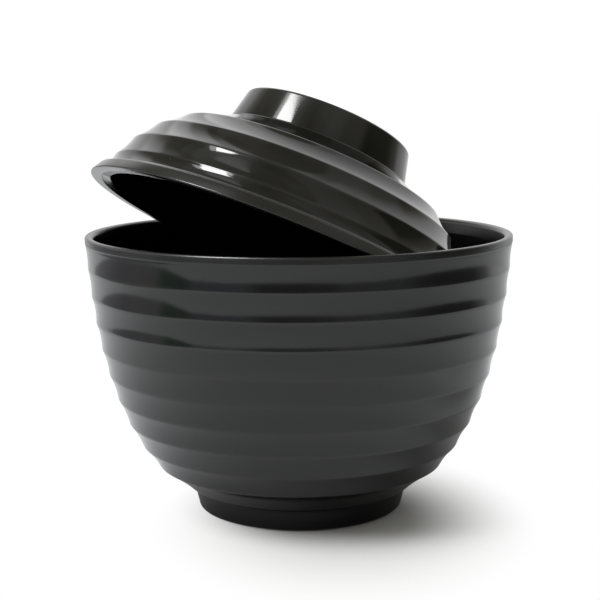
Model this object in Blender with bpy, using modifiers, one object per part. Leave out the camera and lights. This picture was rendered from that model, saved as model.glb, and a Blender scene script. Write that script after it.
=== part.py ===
"""A moulded black bowl with horizontal fluted rings and its loose ring-handled lid.

Both pieces are turned shapes. The bowl stands on its foot ring at the origin. The lid
leans in the bowl's mouth: one side hangs inside the bowl, the other stands above the
rim, and its lip rests on the rim at two points. The lid lifts straight up.
"""

import math

import bpy
from mathutils import Vector

# Driving dimensions, in metres
RIM_RADIUS = 0.0596
BOWL_HEIGHT = 0.078
WALL = 0.0024
LID_RADIUS = 0.056

# Bowl: one curve passes through the ridges of the flutes, and one is the smooth inside
BOWL_CURVE = {"radius": 0.0600, "bottom": 0.0003, "height": 0.100, "bulge": 2.48, "corner": 3.18}
INSIDE_CURVE = {"radius": 0.0575, "bottom": 0.0066, "height": 0.0937, "bulge": 2.48, "corner": 3.5}
LIP_BAND_HEIGHT = 0.0023
LIP_STEP = 0.0001
LIP_CHAMFER = 0.0002
LIP_OUTER_ROUND = 0.0006
LIP_INNER_ROUND = 0.0013
FIRST_RIDGE = 0.0690
FLUTE_PITCH = 0.0075
BOWL_RIDGES = 9
# Depths of the flutes from the lip down, of which the last holds for all further ones
FLUTE_DEPTHS = (0.00020, 0.00027, 0.00038, 0.00034)

# Foot ring of the bowl
FOOT_TOP_RADIUS = 0.0300
FOOT_BOTTOM_RADIUS = 0.0291
FOOT_HEIGHT = 0.0054
FOOT_WALL = 0.0036
FOOT_ROUND = 0.0010
FOOT_FILLET = 0.0016
FOOT_RECESS = 0.0036
RECESS_DRAFT = 0.0003

# Lid, in its own frame: height 0 is the plane of its lip
DOME_CURVE = {"radius": 0.0530, "height": 0.03116, "bulge": 3.19, "corner": 1.64}
UNDERSIDE_CURVE = {"radius": 0.0506, "height": 0.0272, "bulge": 3.3, "corner": 1.70}
LID_RIDGE_RADII = (0.0384, 0.0444, 0.0488, 0.0516)
LID_FLUTE_DEPTHS = (0.00050, 0.00038, 0.00032, 0.00030, 0.00020)
LID_LIP_HEIGHT = 0.0031
LID_LIP_ROUND = 0.0007
LID_LIP_CORNER = 0.0003
LID_LIP_LEAN = 30.0
LID_NECK = 0.0006
RABBET_WIDTH = 0.0026
RABBET_ROUND = 0.0008

# Ring handle of the lid
HANDLE_BASE_RADIUS = 0.0264
HANDLE_TOP_RADIUS = 0.0245
HANDLE_TOP = 0.0383
HANDLE_WALL = 0.0030
HANDLE_ROUND = 0.0010
HANDLE_FLOOR = 0.0296
HANDLE_FLOOR_RISE = 0.0004
HANDLE_CORNER = 0.0014
HANDLE_FILLET = 0.0007
FILLET_RISE = 0.0006
FILLET_END = 238.0

# Place of the leaning lid
LID_CENTRE = (-0.0057, -0.0038, 0.0734)
LID_TILT = math.radians(26.4)
LID_TILT_TOWARDS = math.radians(33.6)

# Looks of the two mouldings: linear colours and roughness
BOWL_COLOUR = (0.004, 0.004, 0.004)
BOWL_ROUGHNESS = 0.08
LID_COLOUR = (0.004, 0.004, 0.0035)
LID_ROUGHNESS = 0.05

# Fineness of the turned shapes
TURN_STEPS = 48
ARC_STEP = 30.0
POINTS_PER_FLUTE = 3
INSIDE_POINTS = 16
INSIDE_CROWDING = 2.2
UNDERSIDE_POINTS = 12
RIDGE_SEARCH_STEP = 0.00002
MERGE_DISTANCE = 0.00002
CARRIER_SIZE = 0.02


def clear_scene():
    for obj in list(bpy.data.objects):
        bpy.data.objects.remove(obj, do_unlink=True)


def wall_radius(curve, z):
    """Radius of a bowl curve at height z: upright at the mouth, round into the bottom."""
    share = min(max((z - curve["bottom"]) / curve["height"], 0.0), 1.0)
    return curve["radius"] * (1.0 - (1.0 - share) ** curve["bulge"]) ** (1.0 / curve["corner"])


def dome_height(curve, radius):
    """Height of a lid curve at a radius: nearly flat at the axis, steep at the lip."""
    share = min(radius / curve["radius"], 1.0)
    return curve["height"] * (1.0 - share ** curve["bulge"]) ** (1.0 / curve["corner"])


def arc(centre_r, centre_z, radius, start, end):
    """Points on a circular arc in the profile plane, from angle start to angle end in degrees."""
    steps = math.ceil(abs(end - start) / ARC_STEP)
    points = []
    for i in range(steps + 1):
        angle = math.radians(start + (end - start) * i / steps)
        points.append((centre_r + radius * math.cos(angle), centre_z + radius * math.sin(angle)))
    return points


def flute(start, end, depth):
    """Points of one shallow concave flute hung between two ridges, without its last point."""
    (r0, z0), (r1, z1) = start, end
    chord = math.dist(start, end)
    inward = ((z1 - z0) / chord, -(r1 - r0) / chord)
    points = []
    for i in range(POINTS_PER_FLUTE):
        share = i / POINTS_PER_FLUTE
        cut = depth * 4.0 * share * (1.0 - share)
        r = r0 + (r1 - r0) * share + cut * inward[0]
        z = z0 + (z1 - z0) * share + cut * inward[1]
        points.append((r, z))
    return points


def fluted(ridges, depths):
    """Points down a turned wall of flutes that meet in the given ridges.

    The last depth holds for all further flutes.
    """
    points = []
    for i, (start, end) in enumerate(zip(ridges, ridges[1:])):
        points += flute(start, end, depths[min(i, len(depths) - 1)])
    points.append(ridges[-1])
    return points


def bowl_ridges():
    """Ridge points down the outer curve, one flute pitch apart along it."""
    last = (wall_radius(BOWL_CURVE, FIRST_RIDGE), FIRST_RIDGE)
    ridges = [last]
    travelled = 0.0
    z = FIRST_RIDGE
    while len(ridges) < BOWL_RIDGES:
        z -= RIDGE_SEARCH_STEP
        point = (wall_radius(BOWL_CURVE, z), z)
        travelled += math.dist(point, last)
        last = point
        if travelled >= FLUTE_PITCH:
            ridges.append(point)
            travelled -= FLUTE_PITCH
    return ridges


def bowl_profile():
    """Outline of the bowl from the middle of its floor over the lip to the foot's recess."""
    inner_top = BOWL_HEIGHT - LIP_INNER_ROUND
    depth = inner_top - INSIDE_CURVE["bottom"]
    points = [(0.0, INSIDE_CURVE["bottom"])]
    for i in range(1, INSIDE_POINTS):
        z = INSIDE_CURVE["bottom"] + depth * (i / INSIDE_POINTS) ** INSIDE_CROWDING
        points.append((wall_radius(INSIDE_CURVE, z), z))
    points += arc(RIM_RADIUS - WALL + LIP_INNER_ROUND, inner_top, LIP_INNER_ROUND, 180, 90)
    points += arc(RIM_RADIUS - LIP_OUTER_ROUND, BOWL_HEIGHT - LIP_OUTER_ROUND, LIP_OUTER_ROUND, 90, 0)

    band_bottom = BOWL_HEIGHT - LIP_BAND_HEIGHT
    points.append((RIM_RADIUS, band_bottom + LIP_CHAMFER))
    under_lip = (RIM_RADIUS - LIP_STEP, band_bottom - LIP_CHAMFER)
    foot_join = (FOOT_TOP_RADIUS + FOOT_FILLET, FOOT_HEIGHT + FOOT_ROUND)
    points += fluted([under_lip, *bowl_ridges(), foot_join], FLUTE_DEPTHS)[:-1]

    points += arc(foot_join[0], foot_join[1] - FOOT_FILLET, FOOT_FILLET, 90, 180)
    points += arc(FOOT_BOTTOM_RADIUS - FOOT_ROUND, FOOT_ROUND, FOOT_ROUND, 0, -90)
    foot_inner = FOOT_BOTTOM_RADIUS - FOOT_WALL
    points += arc(foot_inner + FOOT_ROUND / 2, FOOT_ROUND / 2, FOOT_ROUND / 2, -90, -180)
    points.append((foot_inner - RECESS_DRAFT, FOOT_RECESS))
    points.append((0.0, FOOT_RECESS))
    return points


def handle_profile():
    """Outline of the ring handle from the middle of its dish over the ring to its outer fillet."""
    inner = HANDLE_TOP_RADIUS - HANDLE_WALL
    round_z = HANDLE_TOP - HANDLE_ROUND
    lean = math.degrees(math.atan2(HANDLE_BASE_RADIUS - HANDLE_TOP_RADIUS, HANDLE_TOP - HANDLE_FLOOR))
    fillet_r = HANDLE_BASE_RADIUS + HANDLE_FILLET
    fillet_z = dome_height(DOME_CURVE, fillet_r) + FILLET_RISE
    points = [(0.0, HANDLE_FLOOR + HANDLE_FLOOR_RISE)]
    points += arc(inner - HANDLE_CORNER, HANDLE_FLOOR + HANDLE_CORNER, HANDLE_CORNER, -90, 0)
    points += arc(inner + HANDLE_ROUND, round_z, HANDLE_ROUND, 180, 90)
    points += arc(HANDLE_TOP_RADIUS - HANDLE_ROUND, round_z, HANDLE_ROUND, 90, lean)
    points += arc(fillet_r, fillet_z, HANDLE_FILLET, 180 + lean, FILLET_END)
    return points


def lip_profile():
    """Outline of the lid's lip from its top over its leaning outer face to its flat underside."""
    lean = math.radians(LID_LIP_LEAN)
    high_z = LID_LIP_HEIGHT - LID_LIP_ROUND
    corner_r = LID_RADIUS - LID_LIP_CORNER
    rise = high_z - LID_LIP_CORNER
    high_r = corner_r - (LID_LIP_ROUND - LID_LIP_CORNER + rise * math.sin(lean)) / math.cos(lean)
    points = arc(high_r, high_z, LID_LIP_ROUND, 90, LID_LIP_LEAN)
    points += arc(corner_r, LID_LIP_CORNER, LID_LIP_CORNER, LID_LIP_LEAN, -90)
    return points


def lid_profile():
    """Outline of the lid from the middle of its top over the handle and lip to its underside."""
    points = handle_profile()
    handle_side = HANDLE_BASE_RADIUS + HANDLE_FILLET
    ridges = [(r, dome_height(DOME_CURVE, r)) for r in (handle_side, *LID_RIDGE_RADII)]
    neck = (DOME_CURVE["radius"] - LID_NECK / 2, LID_LIP_HEIGHT + LID_NECK)
    points += fluted([*ridges, neck], LID_FLUTE_DEPTHS)

    points.append((neck[0] + LID_NECK, LID_LIP_HEIGHT))
    points += lip_profile()
    points.append((UNDERSIDE_CURVE["radius"] + RABBET_WIDTH, 0.0))
    points.append((UNDERSIDE_CURVE["radius"] + RABBET_WIDTH - RABBET_ROUND, RABBET_ROUND))
    for i in range(1, UNDERSIDE_POINTS):
        r = UNDERSIDE_CURVE["radius"] * math.cos(math.pi / 2 * i / UNDERSIDE_POINTS)
        points.append((r, dome_height(UNDERSIDE_CURVE, r)))
    points.append((0.0, UNDERSIDE_CURVE["height"]))
    return points


def turned(name, profile, collection):
    """A closed solid of revolution about local Z from an outline that starts and ends on it."""
    mesh = bpy.data.meshes.new(name)
    edges = [(i, i + 1) for i in range(len(profile) - 1)]
    mesh.from_pydata([(r, 0.0, z) for r, z in profile], edges, [])
    obj = bpy.data.objects.new(name, mesh)
    collection.objects.link(obj)
    screw = obj.modifiers.new("turn", "SCREW")
    screw.axis = "Z"
    screw.angle = math.tau
    screw.steps = TURN_STEPS
    screw.render_steps = TURN_STEPS
    screw.use_merge_vertices = True
    screw.merge_threshold = MERGE_DISTANCE
    screw.use_smooth_shade = True
    return obj


def plastic(name, colour, roughness):
    material = bpy.data.materials.new(name)
    material.use_nodes = True
    shader = material.node_tree.nodes["Principled BSDF"]
    shader.inputs["Base Color"].default_value = (*colour, 1.0)
    shader.inputs["Metallic"].default_value = 0.0
    shader.inputs["Roughness"].default_value = roughness
    material.diffuse_color = (*colour, 1.0)
    material.roughness = roughness
    return material


def make_bowl(collection):
    bowl = turned("bowl", bowl_profile(), collection)
    bowl.data.materials.append(plastic("bowl_black", BOWL_COLOUR, BOWL_ROUGHNESS))
    return bowl


def make_lid(collection):
    """The lid on an empty at the centre of its lip, which is on the line that it lifts along."""
    carrier = bpy.data.objects.new("lid_lift", None)
    collection.objects.link(carrier)
    carrier.empty_display_size = CARRIER_SIZE
    carrier.location = LID_CENTRE

    lid = turned("lid", lid_profile(), collection)
    lid.data.materials.append(plastic("lid_black", LID_COLOUR, LID_ROUGHNESS))
    lid.parent = carrier
    lid.rotation_mode = "QUATERNION"
    lean = Vector((
        math.sin(LID_TILT) * math.cos(LID_TILT_TOWARDS),
        math.sin(LID_TILT) * math.sin(LID_TILT_TOWARDS),
        math.cos(LID_TILT),
    ))
    lid.rotation_quaternion = Vector((0.0, 0.0, 1.0)).rotation_difference(lean)
    return lid


def main():
    clear_scene()
    collection = bpy.data.collections.new("lidded_bowl")
    bpy.context.scene.collection.children.link(collection)
    make_bowl(collection)
    make_lid(collection)


main()
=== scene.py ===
"""Looks of a black moulded bowl with horizontal flutes and its loose ring-handled lid.

Both pieces are turned at high resolution on the shapes of the CAD: rounded ridges,
rounded lips, a foot ring and a ring handle. Lengths are in metres.
"""

import math

import bpy
import numpy as np
from mathutils import Matrix, Vector


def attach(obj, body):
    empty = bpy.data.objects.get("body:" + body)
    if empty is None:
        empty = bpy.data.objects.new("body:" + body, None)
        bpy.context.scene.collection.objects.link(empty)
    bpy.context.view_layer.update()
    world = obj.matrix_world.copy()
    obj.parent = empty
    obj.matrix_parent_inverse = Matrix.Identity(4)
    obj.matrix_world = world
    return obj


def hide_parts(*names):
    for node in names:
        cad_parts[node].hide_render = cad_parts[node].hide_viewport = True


# Bowl: one curve passes through the ridges of the flutes, and one is the smooth inside
RIM_RADIUS = 0.0596
BOWL_HEIGHT = 0.078
WALL = 0.0024
BOWL_CURVE = {"radius": 0.0600, "bottom": 0.0003, "height": 0.100, "bulge": 2.48, "corner": 3.18}
INSIDE_CURVE = {"radius": 0.0575, "bottom": 0.0066, "height": 0.0937, "bulge": 2.48, "corner": 3.5}
LIP_BAND_HEIGHT = 0.0023
LIP_STEP = 0.0001
LIP_OUTER_ROUND = 0.0006
LIP_INNER_ROUND = 0.0013
# Degrees by which the two rounds of the lip stop short of level
LIP_TOP_TURN = 2.0
LIP_BAND_ROUND = 0.0005
LIP_BAND_TURN = 25.0
FIRST_RIDGE = 0.0690
FLUTE_PITCH = 0.0075
# Depths of the flutes from the lip down, of which the last holds for all further ones
FLUTE_DEPTHS = (0.00020, 0.00027, 0.00038, 0.00034)
BOWL_RIDGES = 9
FOOT_TOP_RADIUS = 0.0300
FOOT_BOTTOM_RADIUS = 0.0291
FOOT_HEIGHT = 0.0054
FOOT_WALL = 0.0036
FOOT_ROUND = 0.0010
FOOT_FILLET = 0.0016
FOOT_SHOULDER = 0.0008
FOOT_RECESS = 0.0036
RECESS_DRAFT = 0.0002
RECESS_ROUND = 0.0006

# Lid, in its own frame: height 0 is the plane of its lip
LID_RADIUS = 0.056
DOME_CURVE = {"radius": 0.0530, "height": 0.03116, "bulge": 3.19, "corner": 1.64}
UNDERSIDE_CURVE = {"radius": 0.0506, "height": 0.0272, "bulge": 3.3, "corner": 1.70}
LID_RIDGE_RADII = (0.0384, 0.0444, 0.0488, 0.0516)
LID_FLUTE_DEPTHS = (0.00050, 0.00038, 0.00032, 0.00030, 0.00020)
LID_LIP_HEIGHT = 0.0031
LID_LIP_ROUND = 0.0007
LID_LIP_CORNER = 0.0003
LID_LIP_LEAN = 30.0
LID_LIP_WIDTH = 0.0040
LID_LIP_SHOULDER = 0.0010
LID_NECK_INSET = 0.0002
LID_NECK_HEIGHT = 0.0006
LID_NECK_RUN = 0.0005
LID_NECK_FALL = 0.0005
RABBET_WIDTH = 0.0026
RABBET_ROUND = 0.0005
HANDLE_BASE_RADIUS = 0.0264
HANDLE_TOP_RADIUS = 0.0245
HANDLE_TOP = 0.0383
HANDLE_WALL = 0.0030
HANDLE_ROUND = 0.0010
HANDLE_FLOOR = 0.0296
HANDLE_FLOOR_RISE = 0.0003
HANDLE_CORNER = 0.0014
HANDLE_FILLET = 0.0007
FILLET_TURN = 58.0
FILLET_RISE = 0.85

# Place of the leaning lid, and the direction in which it leans
LID_CENTRE = (-0.0057, -0.0038, 0.0734)
LID_TILT = math.radians(26.4)
LID_TILT_TOWARDS = math.radians(33.6)

# Fineness of the turned shapes
TURN_STEPS = 256
ARC_STEPS = 8
FLUTE_STEPS = 10
# Share of a flute's width that is rounded at each ridge, and where points lie in that share
ROUND_SHARE = 0.07
ROUND_POINTS = (0.4, 0.7)
INSIDE_POINTS = 60
INSIDE_CROWDING = 2.4
DISH_POINTS = 12
RIDGE_SEARCH_STEP = 0.00002

# Reach of the zones that the materials read, and the worn arc of the handle's edge: degrees and steps
SKIN = 0.0003
WEAR_REACH = 0.0004
HANDLE_WEAR = (80, 20, 3)

# Skins of the mouldings: linear colours, roughness, and heights of the bumps in metres
BOWL_SKIN = {
    "colour": (0.0016, 0.0016, 0.0017), "worn": (0.020, 0.020, 0.020), "roughness": 0.11,
    "ripple_height": 0.0000025, "grain_height": 0.0000012,
}
# Painted shade: a darker copy of the bowl's skin, with almost no gloss, for the inside where shade falls
INSIDE_SHADED_SKIN = {
    "colour": (0.0010, 0.0010, 0.0010), "worn": (0.008, 0.008, 0.008), "roughness": 0.30,
    "ripple_height": 0.0000025, "grain_height": 0.0000012, "specular": 0.03,
}
LID_SKIN = {
    "colour": (0.0016, 0.0016, 0.0014), "worn": (0.020, 0.020, 0.018), "roughness": 0.045,
    "ripple_height": 0.0000012, "grain_height": 0.0000003,
}
RIM_ROUGHNESS = 0.08
BUFFING_HEIGHT = 0.0000060
SCRATCH_SHARE = -0.25
# What each mark adds to the roughness where it is strongest, and how far it goes to the worn colour
DULLING = {"smudges": 0.035, "rings": 0.14, "ridge": 0.10, "inside": 0.08, "scratches": 0.12, "specks": 0.30}
WEARING = {"ridge": 0.45, "rings": 0.25, "smudges": 0.10, "specks": 0.5}
# Cells of the noises per metre. Rings and hairs have them around the axis and along the outline
SMUDGE_SCALE = 45.0
RIPPLE_SCALE = 260.0
GRAIN_SCALE = 1500.0
SPECK_SCALE = 900.0
RING_SCALE = (60.0, 5200.0, 1.0)
HAIR_SCALE = (90.0, 3600.0, 1.0)
HAIR_TURN = 0.5
# Values of the noises between which smudges, scratches and specks come up
SMUDGE_EDGES = (0.35, 0.75)
SCRATCH_EDGES = (0.70, 0.80)
SPECK_EDGES = (0.79, 0.84)

# Camera
CAMERA_PLACE = (0.00023, -0.3911, 0.1188)
CAMERA_PITCH = 0.1528
CAMERA_ROLL = -0.006
CAMERA_LENS = 83.74
SENSOR_WIDTH = 36.0

# Stage: the floor, which glows white as painted light beyond the ellipse that ends its shadow, and the card,
# with painted shade that makes it darker near the foot
FLOOR_SIZE = 6.0
FLOOR_DEPTH = 0.0003
FLOOR_ALBEDO = (0.55, 0.55, 0.55)
# Painted light: towards the edge of this ellipse the floor glows white and lifts its real shadow
FADE_CENTRE = (0.012, -0.016, 0.0)
FADE_RADII = (0.054, 0.073, 1.0)
FADE_SHARES = (0.30, 1.02)
CARD_COLOUR = (0.61, 0.62, 0.64)
# Painted shade: near the foot the card's colour darkens to this one, over the radii below, as the bowl's shade
# on it
CARD_PAINTED_SHADE_COLOUR = (0.28, 0.28, 0.29)
CARD_PAINTED_SHADE_FADE = (0.032, 0.062)
MATT_ROUGHNESS = 0.9
TABLE_OUTLINE = (
    (-0.02, -0.315), (0.13, -0.310), (0.20, -0.265), (0.25, -0.185), (0.28, -0.090), (0.31, 0.0),
    (0.36, 0.18), (0.40, 0.90), (-0.33, 0.90), (-0.33, 0.28), (-0.27, 0.10), (-0.24, 0.0),
    (-0.22, -0.09), (-0.27, -0.20), (-0.20, -0.280), (-0.12, -0.305),
)

# What the gloss mirrors. Azimuths and elevations are in degrees: azimuth 0 is towards -Y and 90 towards +X
HORIZON = (
    # (azimuth, colour)
    (-180, (0.95, 0.95, 0.93)), (-144, (0.92, 0.92, 0.90)), (-140, (0.42, 0.42, 0.44)),
    (-108, (0.36, 0.36, 0.38)), (-98, (0.46, 0.46, 0.47)), (-82, (0.50, 0.50, 0.49)),
    (-76, (0.15, 0.29, 0.19)), (-63, (0.15, 0.24, 0.19)), (-56, (0.38, 0.38, 0.42)),
    (-30, (0.40, 0.41, 0.46)), (-18, (0.15, 0.15, 0.14)), (16, (0.15, 0.15, 0.14)),
    (24, (0.30, 0.30, 0.30)), (55, (0.33, 0.34, 0.35)), (66, (0.18, 0.18, 0.18)),
    (78, (0.11, 0.11, 0.11)), (106, (0.11, 0.11, 0.11)), (118, (0.36, 0.36, 0.36)),
    (125, (0.82, 0.82, 0.83)), (180, (0.95, 0.95, 0.93)),
)
ROOM = (
    # (lowest elevation, softness, ((azimuth, brightness), ...))
    (2.0, 4.0, (
        (-180, 1.1), (-135, 0.8), (-120, 1.1), (-90, 1.3), (-50, 1.25), (-30, 1.1), (-12, 0.8), (12, 0.6),
        (40, 0.55), (62, 0.3), (76, 0.12), (104, 0.13), (118, 0.36), (130, 0.9), (150, 1.05), (180, 1.1),
    )),
    (27.0, 6.0, (
        (-180, 1.6), (-168, 1.95), (-156, 1.45), (-144, 1.0), (-134, 0.5), (-126, 0.33), (-20, 0.4), (12, 0.6),
        (48, 0.36), (96, 0.42), (110, 0.40), (120, 0.72), (132, 0.98), (168, 1.15), (180, 1.6),
    )),
    (42.0, 6.0, (
        (-180, 1.6), (-168, 1.8), (-158, 1.1), (-150, 0.6), (-138, 0.3), (-90, 0.35), (0, 0.30), (20, 0.36),
        (32, 0.52), (60, 0.46), (108, 0.55), (122, 0.82), (140, 1.0), (160, 1.15), (180, 1.6),
    )),
    (54.0, 4.0, (
        (-180, 1.3), (-168, 1.05), (-160, 0.5), (-150, 0.26), (-130, 0.4), (-100, 0.4), (-85, 0.9), (-35, 0.8),
        (-22, 0.5), (0, 0.28), (30, 0.5), (120, 0.52), (136, 0.78), (150, 0.92), (166, 1.05), (180, 1.3),
    )),
    (61.0, 4.0, (
        (-180, 0.36), (-160, 0.30), (-130, 0.52), (-100, 0.65), (-85, 1.0), (-32, 0.7), (-18, 0.42), (0, 0.28),
        (56, 0.42), (100, 0.30), (150, 0.26), (180, 0.36),
    )),
    (72.0, 5.0, (
        (-180, 0.38), (-125, 0.46), (-108, 1.3), (-60, 1.2), (-36, 0.85), (-22, 0.42), (30, 0.32), (140, 0.30),
        (180, 0.38),
    )),
)
BACKDROP = (1.1, 1.1, 1.1)
# Greys below this brightness turn olive, in full one span lower
OLIVE_FROM = 0.65
OLIVE_SPAN = 0.3
OLIVE_TINT = (1.0, 0.98, 0.80)

# Soft boxes, as seen from the point they face
AIM = Vector((0.0, 0.0, 0.05))
PANEL_DISTANCE = 1.5
PANELS = (
    # (name, azimuth, elevation, width and height in degrees, radiance)
    ("soft_box", -57.5, 46.0, 15.5, 29.0, 20.0),
    ("soft_box_edge", -41.5, 46.0, 6.0, 27.0, 8.0),
    ("soft_box_top", -60.5, 63.5, 16.5, 7.5, 17.0),
    ("soft_box_glow", -63.0, 62.5, 23.0, 10.0, 4.0),
)


def wall_radius(curve, z):
    """Radius of a bowl curve at height z."""
    share = min(max((z - curve["bottom"]) / curve["height"], 0.0), 1.0)
    return curve["radius"] * (1.0 - (1.0 - share) ** curve["bulge"]) ** (1.0 / curve["corner"])


def dome_height(curve, radius):
    """Height of a lid curve at a radius."""
    share = min(radius / curve["radius"], 1.0)
    return curve["height"] * (1.0 - share ** curve["bulge"]) ** (1.0 / curve["corner"])


def arc(centre_r, centre_z, radius, start, end, steps=ARC_STEPS):
    """Points on a circular arc in the profile plane, angles in degrees."""
    angles = np.radians(np.linspace(start, end, steps + 1))
    return [(centre_r + radius * math.cos(a), centre_z + radius * math.sin(a)) for a in angles]


def flute(start, end, depth):
    """Points of one concave flute between two rounded ridges.

    The hollow is a parabola, and a second parabola rounds it off at each ridge, over a share of the pitch.
    """
    (r0, z0), (r1, z1) = start, end
    chord = math.hypot(r1 - r0, z1 - z0)
    inward = ((z1 - z0) / chord, -(r1 - r0) / chord)
    rounded = [point * ROUND_SHARE for point in ROUND_POINTS]
    shares = [0.0, *rounded, *np.linspace(ROUND_SHARE, 1.0 - ROUND_SHARE, FLUTE_STEPS + 1)]
    shares += [1.0 - share for share in reversed(rounded)]
    bend = 2.0 * (1.0 - 2.0 * ROUND_SHARE) / ROUND_SHARE
    lowest = 4.0 * ROUND_SHARE * (1.0 - ROUND_SHARE) - bend * ROUND_SHARE ** 2
    points = []
    for share in shares:
        near = min(share, 1.0 - share)
        hollow = 4.0 * share * (1.0 - share) if near >= ROUND_SHARE else lowest + bend * near ** 2
        cut = depth * hollow
        points.append((r0 + (r1 - r0) * share + cut * inward[0], z0 + (z1 - z0) * share + cut * inward[1]))
    return points


def bowl_ridges():
    """Ridge points down the outer curve at an even spacing along it."""
    ridges = []
    last = (wall_radius(BOWL_CURVE, FIRST_RIDGE), FIRST_RIDGE)
    travelled = FLUTE_PITCH
    z = FIRST_RIDGE
    while len(ridges) < BOWL_RIDGES:
        point = (wall_radius(BOWL_CURVE, z), z)
        travelled += math.dist(point, last)
        last = point
        if travelled >= FLUTE_PITCH:
            ridges.append(point)
            travelled -= FLUTE_PITCH
        z -= RIDGE_SEARCH_STEP
    return ridges


def bowl_profile():
    """Outline of the bowl from the middle of its floor over the lip to the foot's recess."""
    inner_top = BOWL_HEIGHT - LIP_INNER_ROUND
    depth = inner_top - INSIDE_CURVE["bottom"]
    points = [(0.0, INSIDE_CURVE["bottom"])]
    for i in range(1, INSIDE_POINTS):
        z = INSIDE_CURVE["bottom"] + depth * (i / INSIDE_POINTS) ** INSIDE_CROWDING
        points.append((wall_radius(INSIDE_CURVE, z), z))
    points += arc(RIM_RADIUS - WALL + LIP_INNER_ROUND, inner_top, LIP_INNER_ROUND, 180, 90 + LIP_TOP_TURN)
    outer = LIP_OUTER_ROUND
    points += arc(RIM_RADIUS - outer, BOWL_HEIGHT - outer, outer, 90 - LIP_TOP_TURN, 0)

    band_bottom = BOWL_HEIGHT - LIP_BAND_HEIGHT
    edge = LIP_BAND_ROUND
    points += arc(RIM_RADIUS - edge, band_bottom + edge, edge, 0, -LIP_BAND_TURN, 3)
    foot_join = (FOOT_TOP_RADIUS + FOOT_FILLET, FOOT_HEIGHT + FOOT_ROUND)
    ridges = [(RIM_RADIUS - LIP_STEP, band_bottom - LIP_STEP), *bowl_ridges(), foot_join]
    for i, (start, end) in enumerate(zip(ridges, ridges[1:])):
        points += flute(start, end, FLUTE_DEPTHS[min(i, len(FLUTE_DEPTHS) - 1)])
    points += arc(foot_join[0], foot_join[1] - FOOT_FILLET, FOOT_FILLET, 90, 180, 6)[:-1]
    points.append((FOOT_TOP_RADIUS, FOOT_HEIGHT - FOOT_SHOULDER))
    points += arc(FOOT_BOTTOM_RADIUS - FOOT_ROUND, FOOT_ROUND, FOOT_ROUND, 0, -90)
    foot_inner = FOOT_BOTTOM_RADIUS - FOOT_WALL
    points += arc(foot_inner + FOOT_ROUND / 2, FOOT_ROUND / 2, FOOT_ROUND / 2, -90, -180, 6)
    recess = foot_inner - RECESS_DRAFT - RECESS_ROUND
    points += arc(recess, FOOT_RECESS - RECESS_ROUND, RECESS_ROUND, 0, 90, 5)
    points.append((0.0, FOOT_RECESS))
    return points


def lid_ridges():
    """Ridge points down the dome, at the radii given."""
    return [(r, dome_height(DOME_CURVE, r)) for r in LID_RIDGE_RADII]


def lip_profile():
    """Outline of the lid's lip from its top over its leaning outer face to its flat underside."""
    lean = math.radians(LID_LIP_LEAN)
    high_z = LID_LIP_HEIGHT - LID_LIP_ROUND
    corner_r = LID_RADIUS - LID_LIP_CORNER
    rise = high_z - LID_LIP_CORNER
    high_r = corner_r - (LID_LIP_ROUND - LID_LIP_CORNER + rise * math.sin(lean)) / math.cos(lean)
    points = arc(high_r, high_z, LID_LIP_ROUND, 90, LID_LIP_LEAN, 6)
    points += arc(corner_r, LID_LIP_CORNER, LID_LIP_CORNER, LID_LIP_LEAN, -90)
    return points


def lid_profile():
    """Outline of the lid from the middle of its top over the handle and lip to its underside."""
    inner = HANDLE_TOP_RADIUS - HANDLE_WALL
    dish = inner - HANDLE_CORNER
    points = [(0.0, HANDLE_FLOOR + HANDLE_FLOOR_RISE)]
    for i in range(1, DISH_POINTS):
        share = i / DISH_POINTS
        points.append((dish * share, HANDLE_FLOOR + HANDLE_FLOOR_RISE * (1 - share ** 2)))
    points += arc(dish, HANDLE_FLOOR + HANDLE_CORNER, HANDLE_CORNER, -90, 0)
    points += arc(inner + HANDLE_ROUND, HANDLE_TOP - HANDLE_ROUND, HANDLE_ROUND, 180, 90)
    lean = math.degrees(math.atan2(HANDLE_BASE_RADIUS - HANDLE_TOP_RADIUS, HANDLE_TOP - HANDLE_FLOOR))
    points += arc(HANDLE_TOP_RADIUS - HANDLE_ROUND, HANDLE_TOP - HANDLE_ROUND, HANDLE_ROUND, 90, lean)
    start_r = HANDLE_BASE_RADIUS + HANDLE_FILLET
    start = (start_r, dome_height(DOME_CURVE, start_r))
    fillet_z = start[1] + HANDLE_FILLET * FILLET_RISE
    points += arc(start_r, fillet_z, HANDLE_FILLET, 180 + lean, 180 + FILLET_TURN, 6)
    neck = (DOME_CURVE["radius"] - LID_NECK_INSET, LID_LIP_HEIGHT + LID_NECK_HEIGHT)
    ridges = [start, *lid_ridges(), neck]
    for (start, end), depth in zip(zip(ridges, ridges[1:]), LID_FLUTE_DEPTHS):
        points += flute(start, end, depth)
    points.append(neck)
    points.append((neck[0] + LID_NECK_RUN, neck[1] - LID_NECK_FALL))
    points += lip_profile()
    points += arc(UNDERSIDE_CURVE["radius"] + RABBET_WIDTH, RABBET_ROUND, RABBET_ROUND, -90, -180, 5)
    for i in range(1, INSIDE_POINTS):
        r = UNDERSIDE_CURVE["radius"] * math.cos(math.pi / 2 * i / INSIDE_POINTS)
        points.append((r, dome_height(UNDERSIDE_CURVE, r)))
    points.append((0.0, UNDERSIDE_CURVE["height"]))
    return points


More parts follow.
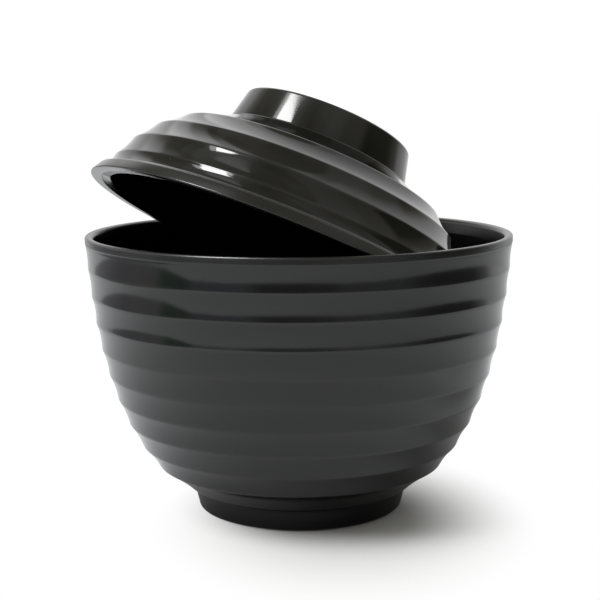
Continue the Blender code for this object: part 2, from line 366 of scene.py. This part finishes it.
def turned(name, profile, place, zones):
    """A closed mesh of revolution about local Z, moved to its place.

    The outline starts and ends on Z. Each zone is a function of (radius, height) that gives
    a share from 0 to 1, which is kept on the points for the material.
    """
    outline = np.array(profile)
    inner = outline[1:-1]
    angles = np.linspace(0.0, math.tau, TURN_STEPS, endpoint=False)
    rings = np.stack([
        np.outer(inner[:, 0], np.cos(angles)),
        np.outer(inner[:, 0], np.sin(angles)),
        np.repeat(inner[:, 1:], TURN_STEPS, axis=1),
    ], axis=-1).reshape(-1, 3)
    points = np.concatenate([rings, [[0, 0, outline[0, 1]], [0, 0, outline[-1, 1]]]])
    first, last = len(rings), len(rings) + 1
    along = np.concatenate([[0.0], np.cumsum(np.hypot(*np.diff(outline, axis=0).T))])
    around = RIM_RADIUS * math.tau / TURN_STEPS
    end = (len(inner) - 1) * TURN_STEPS
    faces, places = [], []
    for i in range(TURN_STEPS):
        j = (i + 1) % TURN_STEPS
        left, right = around * i, around * (i + 1)
        faces.append((first, i, j))
        places += [(left, 0.0), (left, along[1]), (right, along[1])]
        for row in range(len(inner) - 1):
            a, b = row * TURN_STEPS, (row + 1) * TURN_STEPS
            faces.append((a + i, b + i, b + j, a + j))
            near, far = along[row + 1], along[row + 2]
            places += [(left, near), (left, far), (right, far), (right, near)]
        faces.append((last, end + j, end + i))
        places += [(left, along[-1]), (right, along[-2]), (left, along[-2])]
    mesh = bpy.data.meshes.new(name)
    mesh.from_pydata([tuple(p) for p in points], [], faces)
    turning = mesh.uv_layers.new(name="turning")
    turning.data.foreach_set("uv", np.array(places, np.float32).ravel())
    for mark, share in zones.items():
        values = [share(r, z) for r, z in inner]
        layer = mesh.attributes.new(mark, "FLOAT", "POINT")
        shares = [*np.repeat(values, TURN_STEPS), share(*outline[0]), share(*outline[-1])]
        layer.data.foreach_set("value", np.array(shares, np.float32))
    mesh.transform(place)
    mesh.shade_smooth()
    mesh.update()
    obj = bpy.data.objects.new(name, mesh)
    bpy.context.scene.collection.objects.link(obj)
    return obj


def ease(value, low, high):
    """Eases from 0 to 1 as a value goes from low to high."""
    share = min(max((value - low) / (high - low), 0.0), 1.0)
    return share * share * (3.0 - 2.0 * share)


def near_any(point, marks, reach):
    """Share that falls from 1 at the nearest mark to 0 well beyond the reach."""
    return math.exp(-(min(math.dist(point, mark) for mark in marks) / reach) ** 2)


def bowl_zones():
    """The bowl's rim, the crests of its flutes with the foot's edge, and its inside."""
    ridges = bowl_ridges()
    band_bottom = BOWL_HEIGHT - LIP_BAND_HEIGHT

    def inside(r, z):
        below_lip = INSIDE_CURVE["bottom"] - SKIN < z < band_bottom
        return float(below_lip and r < wall_radius(INSIDE_CURVE, z) + SKIN)

    return {
        "rim": lambda r, z: ease(z, band_bottom - SKIN, band_bottom + SKIN),
        "ridge": lambda r, z: max(near_any((r, z), ridges, WEAR_REACH), ease(-z, -FOOT_ROUND, 0.0)),
        "inside": inside,
    }


def lid_zones():
    """The lid's lip, the crests of its flutes with the handle's edge, and its underside."""
    handle_edge = arc(HANDLE_TOP_RADIUS - HANDLE_ROUND, HANDLE_TOP - HANDLE_ROUND, HANDLE_ROUND, *HANDLE_WEAR)
    ridges = lid_ridges() + handle_edge
    lip_start = LID_RADIUS - LID_LIP_WIDTH

    def rim(r, z):
        below_top = ease(-z, -LID_LIP_HEIGHT - SKIN, -LID_LIP_HEIGHT)
        return ease(r, lip_start, lip_start + LID_LIP_SHOULDER) * below_top

    def inside(r, z):
        return float(r < lip_start and z < dome_height(UNDERSIDE_CURVE, r) + SKIN)

    return {
        "rim": rim,
        "ridge": lambda r, z: near_any((r, z), ridges, WEAR_REACH),
        "inside": inside,
    }


def put(tree, socket, value):
    """Sets a socket to a number or colour, or links it."""
    if isinstance(value, bpy.types.NodeSocket):
        tree.links.new(value, socket)
    elif isinstance(value, tuple) and len(value) == 3 and socket.type == "RGBA":
        socket.default_value = (*value, 1.0)
    else:
        socket.default_value = value


def calculate(tree, operation, *values):
    """Output of one sum, whose values are numbers or sockets."""
    node = tree.nodes.new("ShaderNodeMath")
    node.operation = operation
    for socket, value in zip(node.inputs, values):
        put(tree, socket, value)
    return node.outputs["Value"]


def step_up(tree, value, low, high):
    """Eases from 0 to 1 as a value goes from low to high."""
    node = tree.nodes.new("ShaderNodeMapRange")
    node.interpolation_type = "SMOOTHSTEP"
    node.inputs["From Min"].default_value = low
    node.inputs["From Max"].default_value = high
    put(tree, node.inputs["Value"], value)
    return node.outputs["Result"]


def blend_colours(tree, share, first, second):
    """Mixes two colours: the second where the share is 1."""
    node = tree.nodes.new("ShaderNodeMix")
    node.data_type = "RGBA"
    put(tree, node.inputs["Factor"], share)
    put(tree, node.inputs["A"], first)
    put(tree, node.inputs["B"], second)
    return node.outputs["Result"]


def zone(tree, name):
    """Share that was kept on the points under this name."""
    node = tree.nodes.new("ShaderNodeAttribute")
    node.attribute_name = name
    return node.outputs["Fac"]


def noise(tree, vector, scale, detail=2.0, roughness=0.5):
    """Soft noise round 0.5, with its cells per unit of the vector."""
    node = tree.nodes.new("ShaderNodeTexNoise")
    put(tree, node.inputs["Vector"], vector)
    for name, number in (("Scale", scale), ("Detail", detail), ("Roughness", roughness)):
        node.inputs[name].default_value = number
    return node.outputs["Fac"]


def stretched(tree, vector, scale, turn=0.0):
    """Vector scaled along each axis after a turn in radians, so that a noise comes out in streaks."""
    node = tree.nodes.new("ShaderNodeMapping")
    put(tree, node.inputs["Vector"], vector)
    node.inputs["Scale"].default_value = scale
    node.inputs["Rotation"].default_value = (0.0, 0.0, turn)
    return node.outputs["Vector"]


def bump(tree, height, distance, under=None):
    """Normal that a height, times a distance in metres, gives on top of the normal under it."""
    node = tree.nodes.new("ShaderNodeBump")
    node.inputs["Distance"].default_value = distance
    put(tree, node.inputs["Height"], height)
    if under is not None:
        put(tree, node.inputs["Normal"], under)
    return node.outputs["Normal"]


def melamine(name, colour, worn, roughness, ripple_height, grain_height, specular=0.5):
    """Moulded black melamine: a glossy skin with a faint ripple, a buffed rim and handling wear.

    Buffing left fine rings on the rim, the inside is duller, and the ridges of the flutes and
    the edges have lost a little of their gloss.
    """
    material = bpy.data.materials.new(name)
    material.use_nodes = True
    tree = material.node_tree
    shader = tree.nodes["Principled BSDF"]
    shader.inputs["Specular IOR Level"].default_value = specular
    place = tree.nodes.new("ShaderNodeTexCoord").outputs["Object"]
    turning = tree.nodes.new("ShaderNodeUVMap")
    turning.uv_map = "turning"
    rim, ridge, inside = (zone(tree, mark) for mark in ("rim", "ridge", "inside"))

    smudges = noise(tree, place, SMUDGE_SCALE, detail=3.0, roughness=0.6)
    ripple = noise(tree, place, RIPPLE_SCALE, detail=1.0)
    grain = noise(tree, place, GRAIN_SCALE, detail=3.0, roughness=0.6)
    rings = noise(tree, stretched(tree, turning.outputs["UV"], RING_SCALE), 1.0, detail=3.0, roughness=0.6)
    hairs = noise(tree, stretched(tree, turning.outputs["UV"], HAIR_SCALE, HAIR_TURN), 1.0)
    scratches = step_up(tree, hairs, *SCRATCH_EDGES)
    specks = step_up(tree, noise(tree, place, SPECK_SCALE, detail=1.0), *SPECK_EDGES)

    def add(total, share, strength):
        return calculate(tree, "MULTIPLY_ADD", share, strength, total)

    def scaled(value, factor):
        return calculate(tree, "MULTIPLY", value, factor)

    dull = add(roughness, step_up(tree, smudges, *SMUDGE_EDGES), DULLING["smudges"])
    dull = add(dull, rim, add(RIM_ROUGHNESS, rings, DULLING["rings"]))
    dull = add(dull, ridge, scaled(smudges, DULLING["ridge"]))
    dull = add(dull, inside, DULLING["inside"])
    dull = add(dull, scratches, DULLING["scratches"])
    dull = add(dull, specks, DULLING["specks"])
    put(tree, shader.inputs["Roughness"], dull)

    wear = scaled(ridge, scaled(smudges, WEARING["ridge"]))
    wear = add(wear, rim, scaled(rings, WEARING["rings"]))
    wear = add(wear, smudges, WEARING["smudges"])
    wear = add(wear, specks, WEARING["specks"])
    put(tree, shader.inputs["Base Color"], blend_colours(tree, wear, colour, worn))

    skin = bump(tree, ripple, ripple_height)
    skin = bump(tree, grain, grain_height, skin)
    skin = bump(tree, add(scaled(rings, rim), scratches, SCRATCH_SHARE), BUFFING_HEIGHT, skin)
    put(tree, shader.inputs["Normal"], skin)
    return material


def line_inside(obj, material):
    """Gives the faces that lie wholly inside a second material."""
    mesh = obj.data
    mesh.materials.append(material)
    inside = np.empty(len(mesh.vertices), np.float32)
    mesh.attributes["inside"].data.foreach_get("value", inside)
    lined = [int(min(inside[i] for i in face.vertices) > 0.5) for face in mesh.polygons]
    mesh.polygons.foreach_set("material_index", lined)


def stage_plane(name, outline, z):
    """A level face that belongs to the stage and not to the object."""
    mesh = bpy.data.meshes.new(name)
    mesh.from_pydata([(x, y, z) for x, y in outline], [], [tuple(range(len(outline)))])
    obj = bpy.data.objects.new(name, mesh)
    bpy.context.scene.collection.objects.link(obj)
    return obj


def matt(name, albedo):
    """A dull surface of one brightness, without any gloss."""
    material = bpy.data.materials.new(name)
    material.use_nodes = True
    shader = material.node_tree.nodes["Principled BSDF"]
    put(material.node_tree, shader.inputs["Base Color"], albedo)
    shader.inputs["Roughness"].default_value = MATT_ROUGHNESS
    shader.inputs["Specular IOR Level"].default_value = 0.0
    return material


def share_out(tree, centre, radii, start, end):
    """Share that eases from 0 to 1 between two sizes of an ellipse on the stage."""
    mapping = tree.nodes.new("ShaderNodeMapping")
    mapping.vector_type = "TEXTURE"
    mapping.inputs["Location"].default_value = centre
    mapping.inputs["Scale"].default_value = radii
    put(tree, mapping.inputs["Vector"], tree.nodes.new("ShaderNodeTexCoord").outputs["Object"])
    reach = tree.nodes.new("ShaderNodeVectorMath")
    reach.operation = "LENGTH"
    put(tree, reach.inputs[0], mapping.outputs["Vector"])
    return step_up(tree, reach.outputs["Value"], start, end)


def make_floor():
    """A pale floor whose soft shadow gives way to a white glow, painted light, a little way out from the foot.
    """
    far = FLOOR_SIZE
    floor = stage_plane("floor", ((-far, -far), (far, -far), (far, far), (-far, far)), -FLOOR_DEPTH)
    floor.visible_glossy = False
    material = matt("floor_matt_with_painted_glow", FLOOR_ALBEDO)
    tree = material.node_tree
    # Painted light: the floor's white glow, mixed in by the ellipse, lifts the real shadow to white away from
    # the foot
    white = tree.nodes.new("ShaderNodeEmission")
    mix = tree.nodes.new("ShaderNodeMixShader")
    put(tree, mix.inputs["Fac"], share_out(tree, FADE_CENTRE, FADE_RADII, *FADE_SHARES))
    put(tree, mix.inputs[1], tree.nodes["Principled BSDF"].outputs["BSDF"])
    put(tree, mix.inputs[2], white.outputs["Emission"])
    put(tree, tree.nodes["Material Output"].inputs["Surface"], mix.outputs["Shader"])
    floor.data.materials.append(material)


def make_table_top():
    """A sheet of pale card under the object, which only the gloss mirrors: past its edge it is dark. Near the
    foot its colour is darkened as painted shade.
    """
    table = stage_plane("table_top", TABLE_OUTLINE, 0.0)
    material = matt("card_matt_painted_shade", CARD_COLOUR)
    tree = material.node_tree
    # Painted shade: the colour eases from the dark colour at the foot to the card's own colour further out
    share = share_out(tree, (0.0, 0.0, 0.0), (1.0, 1.0, 1.0), *CARD_PAINTED_SHADE_FADE)
    card = blend_colours(tree, share, CARD_PAINTED_SHADE_COLOUR, CARD_COLOUR)
    put(tree, tree.nodes["Principled BSDF"].inputs["Base Color"], card)
    table.data.materials.append(material)
    table.visible_camera = False
    table.visible_shadow = False
    table.visible_diffuse = False


def ramp(tree, azimuth, stops):
    """Colour at an azimuth given as a share of a turn from -180 degrees: stops are (azimuth, colour)."""
    node = tree.nodes.new("ShaderNodeValToRGB")
    tree.links.new(azimuth, node.inputs["Fac"])
    node.color_ramp.interpolation = "LINEAR"
    elements = node.color_ramp.elements
    while len(elements) > 1:
        elements.remove(elements[-1])
    for i, (degrees, colour) in enumerate(stops):
        place = (degrees + 180.0) / 360.0
        element = elements[0] if i == 0 else elements.new(place)
        element.position = place
        element.color = (*colour, 1.0)
    return node.outputs["Color"]


def room_colour(brightness):
    """Dim parts of the room are olive, and bright ones white."""
    olive = min(max((OLIVE_FROM - brightness) / OLIVE_SPAN, 0.0), 1.0)
    return tuple(brightness * (1.0 - (1.0 - tint) * olive) for tint in OLIVE_TINT)


def make_room():
    """The studio that the gloss mirrors: a white sweep behind, a grey room and ceiling elsewhere."""
    world = bpy.data.worlds.new("room")
    world.use_nodes = True
    tree = world.node_tree
    direction = tree.nodes.new("ShaderNodeTexCoord").outputs["Generated"]
    split = tree.nodes.new("ShaderNodeSeparateXYZ")
    tree.links.new(direction, split.inputs["Vector"])
    x, y, z = (split.outputs[axis] for axis in "XYZ")
    turn = calculate(tree, "ARCTAN2", x, calculate(tree, "MULTIPLY", y, -1.0))
    azimuth = calculate(tree, "MULTIPLY_ADD", turn, 1.0 / math.tau, 0.5)
    elevation = calculate(tree, "MULTIPLY", calculate(tree, "ARCSINE", z), 180.0 / math.pi)
    colour = ramp(tree, azimuth, HORIZON)
    for edge, soft, stops in ROOM:
        share = step_up(tree, elevation, edge - soft / 2, edge + soft / 2)
        band = [(degrees, room_colour(brightness)) for degrees, brightness in stops]
        colour = blend_colours(tree, share, colour, ramp(tree, azimuth, band))
    seen = tree.nodes.new("ShaderNodeLightPath").outputs["Is Camera Ray"]
    colour = blend_colours(tree, seen, colour, BACKDROP)
    background = tree.nodes["Background"]
    tree.links.new(colour, background.inputs["Color"])
    bpy.context.scene.world = world


def make_camera():
    """A camera a little above the rim that looks slightly down along +Y."""
    camera = bpy.data.cameras.new("camera")
    camera.sensor_width = SENSOR_WIDTH
    camera.lens = CAMERA_LENS
    obj = bpy.data.objects.new("camera", camera)
    bpy.context.scene.collection.objects.link(obj)
    forward = Vector((0.0, math.cos(CAMERA_PITCH), -math.sin(CAMERA_PITCH)))
    turn = forward.to_track_quat("-Z", "Y").to_matrix().to_4x4()
    obj.matrix_world = Matrix.Translation(CAMERA_PLACE) @ turn @ Matrix.Rotation(CAMERA_ROLL, 4, "Z")
    bpy.context.scene.camera = obj


def panel(name, azimuth, elevation, width, height, radiance):
    """A soft box that the object sees at this place in the room, under an angle of width by height."""
    a, e = math.radians(azimuth), math.radians(elevation)
    towards = Vector((math.sin(a) * math.cos(e), -math.cos(a) * math.cos(e), math.sin(e)))
    size = [2 * PANEL_DISTANCE * math.tan(math.radians(angle / 2)) for angle in (width, height)]
    lamp = bpy.data.lights.new(name, "AREA")
    lamp.shape = "RECTANGLE"
    lamp.size, lamp.size_y = size
    lamp.energy = radiance * math.pi * size[0] * size[1]
    obj = bpy.data.objects.new(name, lamp)
    bpy.context.scene.collection.objects.link(obj)
    obj.location = AIM + PANEL_DISTANCE * towards
    obj.rotation_mode = "QUATERNION"
    obj.rotation_quaternion = (-towards).to_track_quat("-Z", "Y")


def lid_place():
    """Transform that takes the lid from its own frame to where it leans at rest."""
    lean = Vector((
        math.sin(LID_TILT) * math.cos(LID_TILT_TOWARDS),
        math.sin(LID_TILT) * math.sin(LID_TILT_TOWARDS),
        math.cos(LID_TILT),
    ))
    turn = Vector((0, 0, 1)).rotation_difference(lean).to_matrix().to_4x4()
    return Matrix.Translation(LID_CENTRE) @ turn


def make_bowl():
    """The bowl with its foot ring, in place of the CAD bowl."""
    bowl = turned("bowl_moulding", bowl_profile(), Matrix.Identity(4), bowl_zones())
    bowl.data.materials.append(melamine("black_melamine", **BOWL_SKIN))
    # Painted shade: the inside gets the darker, almost glossless copy of the melamine
    line_inside(bowl, melamine("black_melamine_inside_painted_shade", **INSIDE_SHADED_SKIN))
    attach(bowl, "bowl")
    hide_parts("bowl")


def make_lid():
    """The lid with its ring handle, in place of the CAD lid."""
    lid = turned("lid_moulding", lid_profile(), lid_place(), lid_zones())
    lid.data.materials.append(melamine("black_lid_melamine", **LID_SKIN))
    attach(lid, "lid")
    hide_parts("lid")


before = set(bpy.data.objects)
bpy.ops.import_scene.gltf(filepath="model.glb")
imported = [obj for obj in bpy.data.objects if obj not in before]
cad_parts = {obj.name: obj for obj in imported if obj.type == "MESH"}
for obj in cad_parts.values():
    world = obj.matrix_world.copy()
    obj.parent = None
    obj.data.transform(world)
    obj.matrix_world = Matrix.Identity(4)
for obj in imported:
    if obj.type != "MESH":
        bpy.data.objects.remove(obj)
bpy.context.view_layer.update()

bpy.context.scene.view_settings.view_transform = "Standard"

make_bowl()
make_lid()
make_floor()
make_table_top()
make_room()
make_camera()
for numbers in PANELS:
    panel(*numbers)
